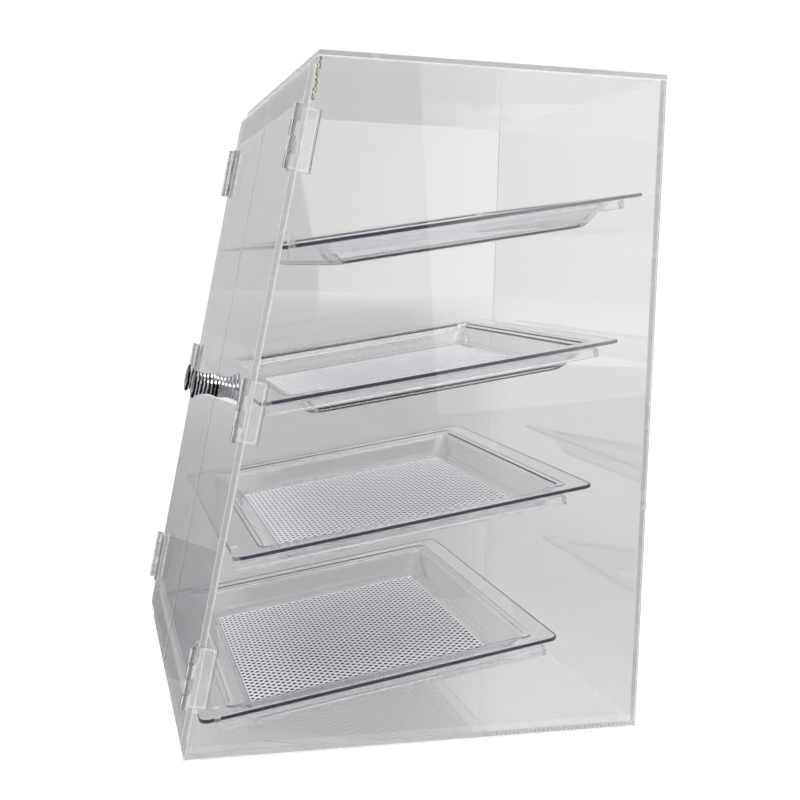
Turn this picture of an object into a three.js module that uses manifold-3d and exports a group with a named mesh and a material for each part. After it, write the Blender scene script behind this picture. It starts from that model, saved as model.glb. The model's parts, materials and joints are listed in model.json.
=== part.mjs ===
// Countertop bread display bin: a case of clear sheet with a sloped front, two doors
// on clear butt hinges, and four slanted trays that rest on runners.
// Millimetres, +Z up, front towards -Y, origin at the middle of the base's underside.

import * as THREE from 'three';
import { mergeVertices } from 'three/addons/utils/BufferGeometryUtils.js';
import Module from 'manifold-3d';

const wasm = await Module();
wasm.setup();

// Case
const caseHeight = 610;
const caseWidth = 446;
const baseDepth = 427;
const topDepth = 319;
const sheet = 5; // thickness of every sheet of the case and the doors
const apronHeight = 42; // top edge of the apron above the table
const headerDrop = 37; // how far the header hangs below the top panel

// Fits
const cementGap = 0.3; // film of cement between two glued faces
const restGap = 0.3; // between a loose piece and what it rests on
const pinClearance = 0.15; // around a hinge pin
const screwClearance = 0.3; // around a screw in its door hole
const doorGap = 0.4; // between the case's front edges and a closed door

// Doors, measured along the sloped front
const doorBottomMargin = 17.5;
const doorTopMargin = 12.5;
const doorEdgeMargin = 0.5; // how far a door stops short of the side panel's outer face
const doorSeam = 1.5; // between the two doors

// Hinges
const hingeLength = 55;
const hingeEndInset = 76; // end of the slope to the middle of the end hinges
const knuckleCount = 4;
const knuckleRadius = 3.2;
const knuckleGap = 0.3;
const leafThickness = 2.5;
const leafReach = 21.5; // pin to the leaf's far edge
const leafClearance = 0.4; // between one leaf's edge and the other's knuckles
const pinStandoff = 4.5; // pin to each face that carries a leaf
const pinRadius = 1.5;
const pinRecess = 0.4; // how far a pin stops short of the knuckle ends

// Knobs and their screws
const knobFromMiddle = 36;
const knobHeight = 28;
const knobHeadRadius = 14;
const knobHeadThickness = 5;
const knobHeadCrown = 1.2;
const knobWaistRadius = 6.6;
const knobFlangeRadius = 9;
const knobFlangeThickness = 1.6;
const screwRadius = 2;
const screwDepth = 10; // into the knob
const screwHeadRadius = 4.2;
const screwHeadThickness = 2.6;
const screwSocketRadius = 1.7;
const screwSocketDepth = 1.5;

// Trays: lengths run along a tray, heights square to it
const trayTilt = THREE.MathUtils.degToRad(10);
const traySideGap = 8; // tray to side panel
const trayRearGap = 5.5; // top tray to back panel
const rimThickness = 3.3;
const sideRim = 24;
const frontRim = 31;
const rearRim = 24;
const wellDepth = 22;
const wellRun = 20; // how far a wall leans in on its way down
const trayWall = 2.8;
const trayFloor = 3;
const rimCornerRadius = 10;
const wellCornerRadius = 8;
const rimEdgeRounding = 0.9;
const wellRounding = 5;
const meshSideInset = 70; // rim's edge to the mesh, at the sides
const meshEndInset = 52.5; // rim's edge to the mesh, front and rear
const meshRise = 0.6;

// Levels: rim heights at the middle of the base's depth, and how far each tray
// and its runners start behind the sloped front
const lowestRimHeight = 65.5;
const lowestBayHeight = 140;
const topHeadroom = 140.5; // top tray's rim to the top of the case
const bottomTrayInset = 9.6;
const lowerTrayInset = 12.5;
const upperTrayInset = 8.9;
const topTrayInset = 2.7;
const bottomRunnerInset = 22.3;
const lowerRunnerInset = 10.7;
const upperRunnerInset = 12.2;
const topRunnerInset = 6.6;

// Runners
const runnerHeight = 8;
const runnerWidth = 17.7;
const runnerShortfall = 30; // tray length less runner length
const lugWidth = 6.2;
const lugLength = 6;
const lugAboveRim = 12;

// Smoothness of round forms
const barrelSegments = 20;
const knobSegments = 32;
const knobCurveSteps = 4;
const screwSegments = 16;
const socketSides = 6;
const trayCornerSteps = 5;
const trayRoundingSteps = 2;
const halfTurnsPerCircle = 2;

// Worked out from the sizes above
const slopeTangent = (baseDepth - topDepth) / caseHeight;
const frontLean = Math.atan(slopeTangent);
const slopeLength = Math.hypot(caseHeight, baseDepth - topDepth);
const frontY = -baseDepth / 2;
const rearY = baseDepth / 2;
const innerHalfWidth = caseWidth / 2 - sheet;
const sideTop = caseHeight - sheet - cementGap;
const frontAtHeight = (height) => frontY + height * slopeTangent;

// Where a tray's rim line, rising rearwards at the tray's tilt, meets the sloped front
function rimLineStart(rimHeight) {
  const y = (frontY + rimHeight * slopeTangent) / (1 - Math.tan(trayTilt) * slopeTangent);
  return new THREE.Vector3(0, y, rimHeight + y * Math.tan(trayTilt));
}

const trayWidth = 2 * (innerHalfWidth - traySideGap);
const topRimHeight = caseHeight - topHeadroom;
const bayHeight = (topRimHeight - lowestRimHeight - lowestBayHeight) / 2;
const trayLength =
  (rearY - sheet - trayRearGap - rimLineStart(topRimHeight).y) / Math.cos(trayTilt) - topTrayInset;
const runnerLength = trayLength - runnerShortfall;

const levels = [
  { name: 'bottom', rimHeight: lowestRimHeight, trayInset: bottomTrayInset, runnerInset: bottomRunnerInset },
  {
    name: 'lower',
    rimHeight: lowestRimHeight + lowestBayHeight,
    trayInset: lowerTrayInset,
    runnerInset: lowerRunnerInset,
  },
  { name: 'upper', rimHeight: topRimHeight - bayHeight, trayInset: upperTrayInset, runnerInset: upperRunnerInset },
  { name: 'top', rimHeight: topRimHeight, trayInset: topTrayInset, runnerInset: topRunnerInset },
];

// Materials
const clearSheet = new THREE.MeshStandardMaterial({
  color: 0xeaf2f4, roughness: 0.05, metalness: 0, transparent: true, opacity: 0.25,
});
const clearHinge = new THREE.MeshStandardMaterial({
  color: 0xf1f5f6, roughness: 0.12, metalness: 0, transparent: true, opacity: 0.4,
});
const tintedTray = new THREE.MeshStandardMaterial({
  color: 0xa9a6d8, roughness: 0.18, metalness: 0, transparent: true, opacity: 0.55,
});
const polishedMetal = new THREE.MeshStandardMaterial({ color: 0xd8dade, roughness: 0.08, metalness: 1 });
const screwSteel = new THREE.MeshStandardMaterial({ color: 0xa6a8ab, roughness: 0.35, metalness: 1 });

// One named piece, with a material of its own
function piece(name, geometry, material) {
  const mesh = new THREE.Mesh(geometry, material.clone());
  mesh.name = name;
  return mesh;
}

// Closed geometry as a solid that can be joined or cut
function toSolid(geometry) {
  const bare = geometry.clone();
  bare.deleteAttribute('normal');
  bare.deleteAttribute('uv');
  const merged = mergeVertices(bare);
  const corners = merged.index.array;
  const triangles = [];
  for (let i = 0; i < corners.length; i += 3) {
    const [a, b, c] = [corners[i], corners[i + 1], corners[i + 2]];
    if (a !== b && b !== c && c !== a) triangles.push(a, b, c);
  }
  return new wasm.Manifold(
    new wasm.Mesh({
      numProp: 3,
      vertProperties: new Float32Array(merged.attributes.position.array),
      triVerts: new Uint32Array(triangles),
    }),
  );
}

// Solid back to geometry
function fromSolid(solid) {
  const mesh = solid.getMesh();
  const geometry = new THREE.BufferGeometry();
  geometry.setAttribute('position', new THREE.BufferAttribute(new Float32Array(mesh.vertProperties), 3));
  geometry.setIndex(new THREE.BufferAttribute(new Uint32Array(mesh.triVerts), 1));
  geometry.computeVertexNormals();
  return geometry;
}

// Flat outline from a list of corners
function outline(corners) {
  return new THREE.Shape(corners.map(([across, up]) => new THREE.Vector2(across, up)));
}

// Profile in depth and height, extruded across the case from one X to another
function acrossCase(profile, fromX, toX) {
  const geometry = new THREE.ExtrudeGeometry(profile, { depth: toX - fromX, bevelEnabled: false });
  const depthToY = new THREE.Vector3(0, 1, 0);
  const heightToZ = new THREE.Vector3(0, 0, 1);
  const extrusionToX = new THREE.Vector3(1, 0, 0);
  geometry.applyMatrix4(new THREE.Matrix4().makeBasis(depthToY, heightToZ, extrusionToX));
  return geometry.translate(fromX, 0, 0);
}

// Case panels
function sidePanel(name, fromX) {
  const profile = outline([
    [rearY, 0],
    [rearY, sideTop],
    [frontAtHeight(sideTop), sideTop],
    [frontY, 0],
  ]);
  return piece(name, acrossCase(profile, fromX, fromX + sheet), clearSheet);
}

// Level sheet whose front edge is cut to the slope
function levelPanel(name, underside, halfWidth) {
  const topFace = underside + sheet;
  const profile = outline([
    [rearY, underside],
    [rearY, topFace],
    [frontAtHeight(topFace), topFace],
    [frontAtHeight(underside), underside],
  ]);
  return piece(name, acrossCase(profile, -halfWidth, halfWidth), clearSheet);
}

function backPanel(halfWidth) {
  const profile = outline([
    [rearY, sheet + cementGap],
    [rearY, sideTop],
    [rearY - sheet, sideTop],
    [rearY - sheet, sheet + cementGap],
  ]);
  return piece('back_panel', acrossCase(profile, -halfWidth, halfWidth), clearSheet);
}

// Strip in the plane of the slope, flush with the side panels' front edges
function slopedStrip(name, lowEdge, highEdge, halfWidth) {
  const levelThickness = sheet / Math.cos(frontLean);
  const profile = outline([
    [frontAtHeight(lowEdge) + levelThickness, lowEdge],
    [frontAtHeight(highEdge) + levelThickness, highEdge],
    [frontAtHeight(highEdge), highEdge],
    [frontAtHeight(lowEdge), lowEdge],
  ]);
  return piece(name, acrossCase(profile, -halfWidth, halfWidth), clearSheet);
}

function casePanels() {
  const insideHalfWidth = innerHalfWidth - cementGap;
  const group = new THREE.Group();
  group.add(
    sidePanel('left_side_panel', -caseWidth / 2),
    sidePanel('right_side_panel', innerHalfWidth),
    levelPanel('base_panel', 0, insideHalfWidth),
    levelPanel('top_panel', caseHeight - sheet, caseWidth / 2),
    backPanel(insideHalfWidth),
    slopedStrip('front_apron', sheet + cementGap, apronHeight, insideHalfWidth),
    slopedStrip('front_header', caseHeight - sheet - headerDrop, sideTop, insideHalfWidth),
  );
  return group;
}

// Hinges, drawn about the pin: the door's leaf runs towards -X with its back towards -Z
const leafBack = pinStandoff - cementGap;
const leafFace = leafBack - leafThickness;
const knucklePitch = hingeLength / knuckleCount;

function leafPlate() {
  const nearEdge = leafBack + leafClearance;
  const profile = outline([
    [-leafReach, -leafBack],
    [-nearEdge, -leafBack],
    [-nearEdge, -leafFace],
    [-leafReach, -leafFace],
  ]);
  return new THREE.ExtrudeGeometry(profile, { depth: hingeLength, bevelEnabled: false });
}

// Knuckle with the neck that joins it to its leaf
function knuckle(position) {
  const profile = new THREE.Shape();
  profile.moveTo(-leafReach, -leafBack);
  profile.lineTo(-knuckleRadius / 2, -leafBack);
  const meetsLeafFace = Math.PI + Math.asin(leafFace / knuckleRadius);
  profile.absarc(0, 0, knuckleRadius, -Math.PI / 4, meetsLeafFace, false);
  profile.lineTo(-leafReach, -leafFace);
  profile.closePath();
  const bore = new THREE.Path();
  bore.absarc(0, 0, pinRadius + pinClearance, 0, 2 * Math.PI, true);
  profile.holes.push(bore);
  const length = knucklePitch - knuckleGap;
  const geometry = new THREE.ExtrudeGeometry(profile, {
    depth: length,
    bevelEnabled: false,
    curveSegments: barrelSegments / halfTurnsPerCircle,
  });
  return geometry.translate(0, 0, position * knucklePitch + knuckleGap / 2);
}

// Leaf with every second knuckle, starting from the given one
function hingeLeaf(firstKnuckle) {
  let solid = toSolid(leafPlate());
  for (let position = firstKnuckle; position < knuckleCount; position += 2) {
    solid = solid.add(toSolid(knuckle(position)));
  }
  const geometry = fromSolid(solid).translate(0, 0, -hingeLength / 2);
  // The extrusion's length becomes the pin's direction, and the leaf's back turns to -Z
  const towardsDoorMiddle = new THREE.Vector3(1, 0, 0);
  const offTheFace = new THREE.Vector3(0, 0, 1);
  const downThePin = new THREE.Vector3(0, -1, 0);
  return geometry.applyMatrix4(new THREE.Matrix4().makeBasis(towardsDoorMiddle, offTheFace, downThePin));
}

function hinge(side, place) {
  const group = new THREE.Group();
  const doorLeaf = piece(`${side}_${place}_hinge_door_leaf`, hingeLeaf(0), clearHinge);
  // The side leaf is turned over, so its knuckles count from the pin's other end
  const sideLeaf = piece(`${side}_${place}_hinge_side_leaf`, hingeLeaf(knuckleCount % 2), clearHinge);
  const turned = new THREE.Matrix4().makeBasis(
    new THREE.Vector3(0, 0, 1),
    new THREE.Vector3(0, -1, 0),
    new THREE.Vector3(1, 0, 0),
  );
  sideLeaf.geometry.applyMatrix4(turned);
  const pinLength = hingeLength - 2 * pinRecess;
  const pinGeometry = new THREE.CylinderGeometry(pinRadius, pinRadius, pinLength, barrelSegments);
  group.add(doorLeaf, sideLeaf, piece(`${side}_${place}_hinge_pin`, pinGeometry, clearHinge));
  return group;
}

// Knob, turned about Z with its seat at zero and a blind hole for the screw
function knobGeometry() {
  const headUnderside = knobHeight - knobHeadThickness;
  const headEdgeRadius = (knobHeadThickness - knobHeadCrown) / 2;
  const headEdgeHeight = headUnderside + headEdgeRadius;
  const flangeTop = knobFlangeThickness;
  const profile = new THREE.Path();
  profile.moveTo(0, screwDepth + screwClearance);
  profile.lineTo(screwRadius + screwClearance, screwDepth + screwClearance);
  profile.lineTo(screwRadius + screwClearance, 0);
  profile.lineTo(knobFlangeRadius, 0);
  profile.lineTo(knobFlangeRadius, flangeTop);
  profile.bezierCurveTo(
    knobWaistRadius, flangeTop + knobFlangeThickness,
    knobWaistRadius, headUnderside / 2,
    knobWaistRadius, headUnderside / 2,
  );
  profile.bezierCurveTo(
    knobWaistRadius, headUnderside - knobFlangeThickness,
    knobFlangeRadius, headUnderside,
    knobHeadRadius - headEdgeRadius, headUnderside,
  );
  profile.absarc(
    knobHeadRadius - headEdgeRadius, headEdgeHeight, headEdgeRadius, -Math.PI / 2, Math.PI / 2, false,
  );
  profile.quadraticCurveTo(knobHeadRadius / 2, knobHeight, 0, knobHeight);
  const points = profile.getPoints(knobCurveSteps);
  return new THREE.LatheGeometry(points, knobSegments).rotateX(Math.PI / 2);
}

// Screw, turned about Z: head below zero, shank up through the door into the knob
function screwGeometry() {
  const shankEnd = sheet + restGap + screwDepth;
  const profile = new THREE.Path();
  profile.moveTo(0, -screwHeadThickness);
  profile.lineTo(screwHeadRadius / 2, -screwHeadThickness);
  profile.quadraticCurveTo(screwHeadRadius, -screwHeadThickness, screwHeadRadius, -restGap);
  profile.lineTo(screwRadius, -restGap);
  profile.lineTo(screwRadius, shankEnd - screwRadius / 2);
  profile.lineTo(screwRadius / 2, shankEnd);
  profile.lineTo(0, shankEnd);
  const turned = new THREE.LatheGeometry(profile.getPoints(knobCurveSteps), screwSegments).rotateX(Math.PI / 2);
  const socket = new THREE.CylinderGeometry(
    screwSocketRadius, screwSocketRadius, 2 * screwSocketDepth, socketSides,
  );
  socket.rotateX(Math.PI / 2).translate(0, 0, -screwHeadThickness);
  return fromSolid(toSolid(turned).subtract(toSolid(socket)));
}

// Door, drawn on the slope: X across, Y up the slope, Z out of the case
function door(side, sign) {
  const group = new THREE.Group();
  const seamX = sign * (doorSeam / 2);
  const hingeX = sign * (caseWidth / 2 - doorEdgeMargin);
  const knobX = sign * knobFromMiddle;
  const knobUp = slopeLength / 2;
  const doorTop = slopeLength - doorTopMargin;
  const [fromX, toX] = [Math.min(seamX, hingeX), Math.max(seamX, hingeX)];
  const panelOutline = outline([
    [fromX, doorBottomMargin],
    [toX, doorBottomMargin],
    [toX, doorTop],
    [fromX, doorTop],
  ]);
  const screwHole = new THREE.Path();
  screwHole.absarc(knobX, knobUp, screwRadius + screwClearance, 0, 2 * Math.PI, true);
  panelOutline.holes.push(screwHole);
  const panel = new THREE.ExtrudeGeometry(panelOutline, {
    depth: sheet,
    bevelEnabled: false,
    curveSegments: screwSegments / halfTurnsPerCircle,
  });
  const panelMesh = piece(`${side}_door_panel`, panel, clearSheet);
  panelMesh.position.z = doorGap;
  const knobMesh = piece(`${side}_door_knob`, knobGeometry(), polishedMetal);
  knobMesh.position.set(knobX, knobUp, doorGap + sheet + restGap);
  const screwMesh = piece(`${side}_knob_screw`, screwGeometry(), screwSteel);
  screwMesh.position.set(knobX, knobUp, doorGap);
  group.add(panelMesh, knobMesh, screwMesh);
  return group;
}

// Both doors and their hinges, in the plane of the slope
function doorsAndHinges() {
  const slope = new THREE.Group();
  slope.position.y = frontY;
  slope.rotation.x = Math.PI / 2 - frontLean;
  const hingeCentres = {
    bottom: hingeEndInset,
    middle: slopeLength / 2,
    top: slopeLength - hingeEndInset,
  };
  for (const [side, sign] of [['left', -1], ['right', 1]]) {
    slope.add(door(side, sign));
    for (const [place, centre] of Object.entries(hingeCentres)) {
      const placed = hinge(side, place);
      placed.position.set(sign * (caseWidth / 2 + pinStandoff), centre, doorGap + sheet + pinStandoff);
      // A left hinge is a right one turned end for end
      placed.rotation.z = sign > 0 ? 0 : Math.PI;
      slope.add(placed);
    }
  }
  return slope;
}

// Polyline whose corners are rounded: each corner is [across, up, rounding]
function roundedSection(corners) {
  return corners.flatMap(([across, up, rounding], i) => {
    const corner = new THREE.Vector2(across, up);
    if (rounding === 0) return [corner];
    const [before, after] = [corners[i - 1], corners[i + 1]].map(([x, y]) =>
      new THREE.Vector2(x, y).sub(corner).setLength(rounding).add(corner),
    );
    return new THREE.QuadraticBezierCurve(before, corner, after).getPoints(trayRoundingSteps);
  });
}

// Section through a tray's edge, from the mesh over the rim and back underneath:
// distance in from the rim's edge, and height above the rim
function traySection(rimWidth, meshInset) {
  const levelWall = trayWall / Math.sin(Math.atan2(wellDepth, wellRun));
  const wallAtDepth = (depth) => rimWidth + wellRun * (depth / wellDepth);
  const outerDepth = wellDepth + trayFloor;
  return roundedSection([
    [meshInset, meshRise - wellDepth, 0],
    [meshInset - meshRise, -wellDepth, 0],
    [wallAtDepth(wellDepth), -wellDepth, wellRounding],
    [rimWidth, 0, wellRounding],
    [0, 0, rimEdgeRounding],
    [0, -rimThickness, rimEdgeRounding],
    [wallAtDepth(rimThickness) - levelWall, -rimThickness, wellRounding],
    [wallAtDepth(outerDepth) - levelWall, -outerDepth, wellRounding],
    [meshInset, -outerDepth, 0],
  ]);
}

// Rounded rectangle, anticlockwise seen from above
function ring(halfWidth, front, rear, radius, height) {
  const centres = [
    [halfWidth - radius, rear - radius],
    [radius - halfWidth, rear - radius],
    [radius - halfWidth, front + radius],
    [halfWidth - radius, front + radius],
  ];
  return centres.flatMap(([x, y], quarter) =>
    Array.from({ length: trayCornerSteps + 1 }, (unused, step) => {
      const angle = (quarter + step / trayCornerSteps) * (Math.PI / 2);
      return new THREE.Vector3(x + radius * Math.cos(angle), y + radius * Math.sin(angle), height);
    }),
  );
}

// Closed skin through a row of rings, with a fan across the first and the last
function loft(rings) {
  const perRing = rings[0].length;
  const points = rings.flat();
  const faces = [];
  for (let r = 0; r < rings.length - 1; r += 1) {
    for (let i = 0; i < perRing; i += 1) {
      const next = (i + 1) % perRing;
      const [a, b] = [r * perRing + i, r * perRing + next];
      const [c, d] = [a + perRing, b + perRing];
      faces.push(a, c, d, a, d, b);
    }
  }
  const lastRing = (rings.length - 1) * perRing;
  for (let i = 1; i < perRing - 1; i += 1) {
    faces.push(0, i, i + 1);
    faces.push(lastRing, lastRing + i + 1, lastRing + i);
  }
  const geometry = new THREE.BufferGeometry().setFromPoints(points);
  geometry.setIndex(faces);
  geometry.computeVertexNormals();
  return geometry;
}

// Tray, front edge at zero, rim's top face at zero
function trayGeometry() {
  const side = traySection(sideRim, meshSideInset);
  const front = traySection(frontRim, meshEndInset);
  const rear = traySection(rearRim, meshEndInset);
  const rings = side.map((point, i) => {
    const depthShare = -point.y / (wellDepth + trayFloor);
    const radius = THREE.MathUtils.lerp(rimCornerRadius, wellCornerRadius, depthShare);
    return ring(trayWidth / 2 - point.x, front[i].x, trayLength - rear[i].x, radius, point.y);
  });
  return loft(rings);
}

// Runner with its upright lug, drawn against the right side panel, front end at zero
function runnerGeometry() {
  const wallX = innerHalfWidth - cementGap;
  const topFace = -rimThickness - restGap;
  const underside = topFace - runnerHeight;
  const bar = new THREE.BoxGeometry(runnerWidth, runnerLength, runnerHeight);
  bar.translate(wallX - runnerWidth / 2, runnerLength / 2, topFace - runnerHeight / 2);
  const lugHeight = lugAboveRim - underside;
  const lug = new THREE.BoxGeometry(lugWidth, lugLength, lugHeight);
  lug.translate(wallX - lugWidth / 2, lugLength / 2, underside + lugHeight / 2);
  return fromSolid(toSolid(bar).add(toSolid(lug)));
}

// The same runner for the left side panel
function mirrored(geometry) {
  const flipped = geometry.clone().scale(-1, 1, 1);
  const corners = flipped.index.array;
  for (let i = 0; i < corners.length; i += 3) {
    [corners[i + 1], corners[i + 2]] = [corners[i + 2], corners[i + 1]];
  }
  flipped.computeVertexNormals();
  return flipped;
}

// One level: a tray on its two runners, in the plane of the rim's top face
function level({ name, rimHeight, trayInset, runnerInset }) {
  const group = new THREE.Group();
  group.position.copy(rimLineStart(rimHeight));
  group.rotation.x = trayTilt;
  const tray = piece(`${name}_tray`, trayGeometry(), tintedTray);
  tray.position.y = trayInset;
  const right = runnerGeometry();
  const runners = [
    piece(`${name}_left_runner`, mirrored(right), clearSheet),
    piece(`${name}_right_runner`, right, clearSheet),
  ];
  for (const runner of runners) runner.position.y = runnerInset;
  group.add(tray, ...runners);
  return group;
}

const bin = new THREE.Group();
bin.add(casePanels(), doorsAndHinges(), ...levels.map(level));
bin.updateMatrixWorld(true);

export default bin;
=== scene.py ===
"""Looks of a countertop bread display bin: clear sheet case, swing doors and tinted trays.

Every piece is shaped from, or placed by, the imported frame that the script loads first.
Lengths are in metres unless a name or a comment says millimetres.
"""

import json
import logging
import math
from collections.abc import Iterable
from dataclasses import dataclass
from enum import Enum, IntEnum
from typing import TypeAlias

import bmesh
import bpy
from mathutils import Matrix, Vector


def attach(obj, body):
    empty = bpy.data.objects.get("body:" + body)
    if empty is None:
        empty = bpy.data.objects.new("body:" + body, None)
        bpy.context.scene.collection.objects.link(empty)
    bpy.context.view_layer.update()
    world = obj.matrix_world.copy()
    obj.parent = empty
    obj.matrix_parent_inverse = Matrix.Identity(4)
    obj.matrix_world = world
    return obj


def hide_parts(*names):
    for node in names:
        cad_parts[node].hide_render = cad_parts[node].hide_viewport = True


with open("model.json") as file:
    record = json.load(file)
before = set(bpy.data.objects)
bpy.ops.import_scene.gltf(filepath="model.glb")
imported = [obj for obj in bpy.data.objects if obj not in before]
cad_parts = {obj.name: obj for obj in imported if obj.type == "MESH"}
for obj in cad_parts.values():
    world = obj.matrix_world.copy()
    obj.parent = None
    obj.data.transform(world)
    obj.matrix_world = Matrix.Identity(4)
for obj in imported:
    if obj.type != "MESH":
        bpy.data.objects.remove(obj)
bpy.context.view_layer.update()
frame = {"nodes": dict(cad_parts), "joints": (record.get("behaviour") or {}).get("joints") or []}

MM = 0.001
SIDES = ("left", "right")
LEVELS = ("bottom", "lower", "upper", "top")
HINGE_PLACES = ("bottom", "middle", "top")
LOG = logging.getLogger("bread_bin")
Colour: TypeAlias = tuple[float, float, float]
Span: TypeAlias = tuple[float, float]
Operand: TypeAlias = "Wire | float | int"

ACRYLIC_IOR = 1.49
PLASTIC_IOR = 1.5


class Octaves(IntEnum):
    """How fine a noise is."""

    BROAD = 1
    MEDIUM = 2
    FINE = 3
    FINEST = 4


class Wire:
    """One output of a shader node, which Python sums can use."""

    def __init__(self, graph: "Graph", socket: bpy.types.NodeSocket) -> None:
        """Keeps the output and the graph that it belongs to.

        Args:
            graph: the node graph that new maths nodes go into.
            socket: the output itself.
        """
        self.graph = graph
        self.socket = socket

    def _maths(self, operation: str, first: Operand, second: Operand) -> "Wire":
        """Adds one maths node.

        Args:
            operation: the name of the sum, as the maths node has it.
            first: the left value.
            second: the right value.

        Returns:
            The node's result.
        """
        return self.graph.node("ShaderNodeMath", {"operation": operation}, {0: first, 1: second})

    def __add__(self, other: Operand) -> "Wire":
        """Returns self + other."""
        return self._maths("ADD", self, other)

    def __radd__(self, other: Operand) -> "Wire":
        """Returns other + self."""
        return self._maths("ADD", other, self)

    def __sub__(self, other: Operand) -> "Wire":
        """Returns self - other."""
        return self._maths("SUBTRACT", self, other)

    def __rsub__(self, other: Operand) -> "Wire":
        """Returns other - self."""
        return self._maths("SUBTRACT", other, self)

    def __mul__(self, other: Operand) -> "Wire":
        """Returns self * other."""
        return self._maths("MULTIPLY", self, other)

    def __rmul__(self, other: Operand) -> "Wire":
        """Returns other * self."""
        return self._maths("MULTIPLY", other, self)

    def __truediv__(self, other: Operand) -> "Wire":
        """Returns self / other."""
        return self._maths("DIVIDE", self, other)

    def __rtruediv__(self, other: Operand) -> "Wire":
        """Returns other / self."""
        return self._maths("DIVIDE", other, self)

    def __mod__(self, other: Operand) -> "Wire":
        """Returns what is left of self after whole steps of other, never negative."""
        return self._maths("FLOORED_MODULO", self, other)

    def __abs__(self) -> "Wire":
        """Returns self without its sign."""
        return self._maths("ABSOLUTE", self, 0)

    def __gt__(self, other: Operand) -> "Wire":
        """Returns 1 where self is the larger, and 0 elsewhere."""
        return self._maths("GREATER_THAN", self, other)

    def __lt__(self, other: Operand) -> "Wire":
        """Returns 1 where self is the smaller, and 0 elsewhere."""
        return self._maths("LESS_THAN", self, other)


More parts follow.
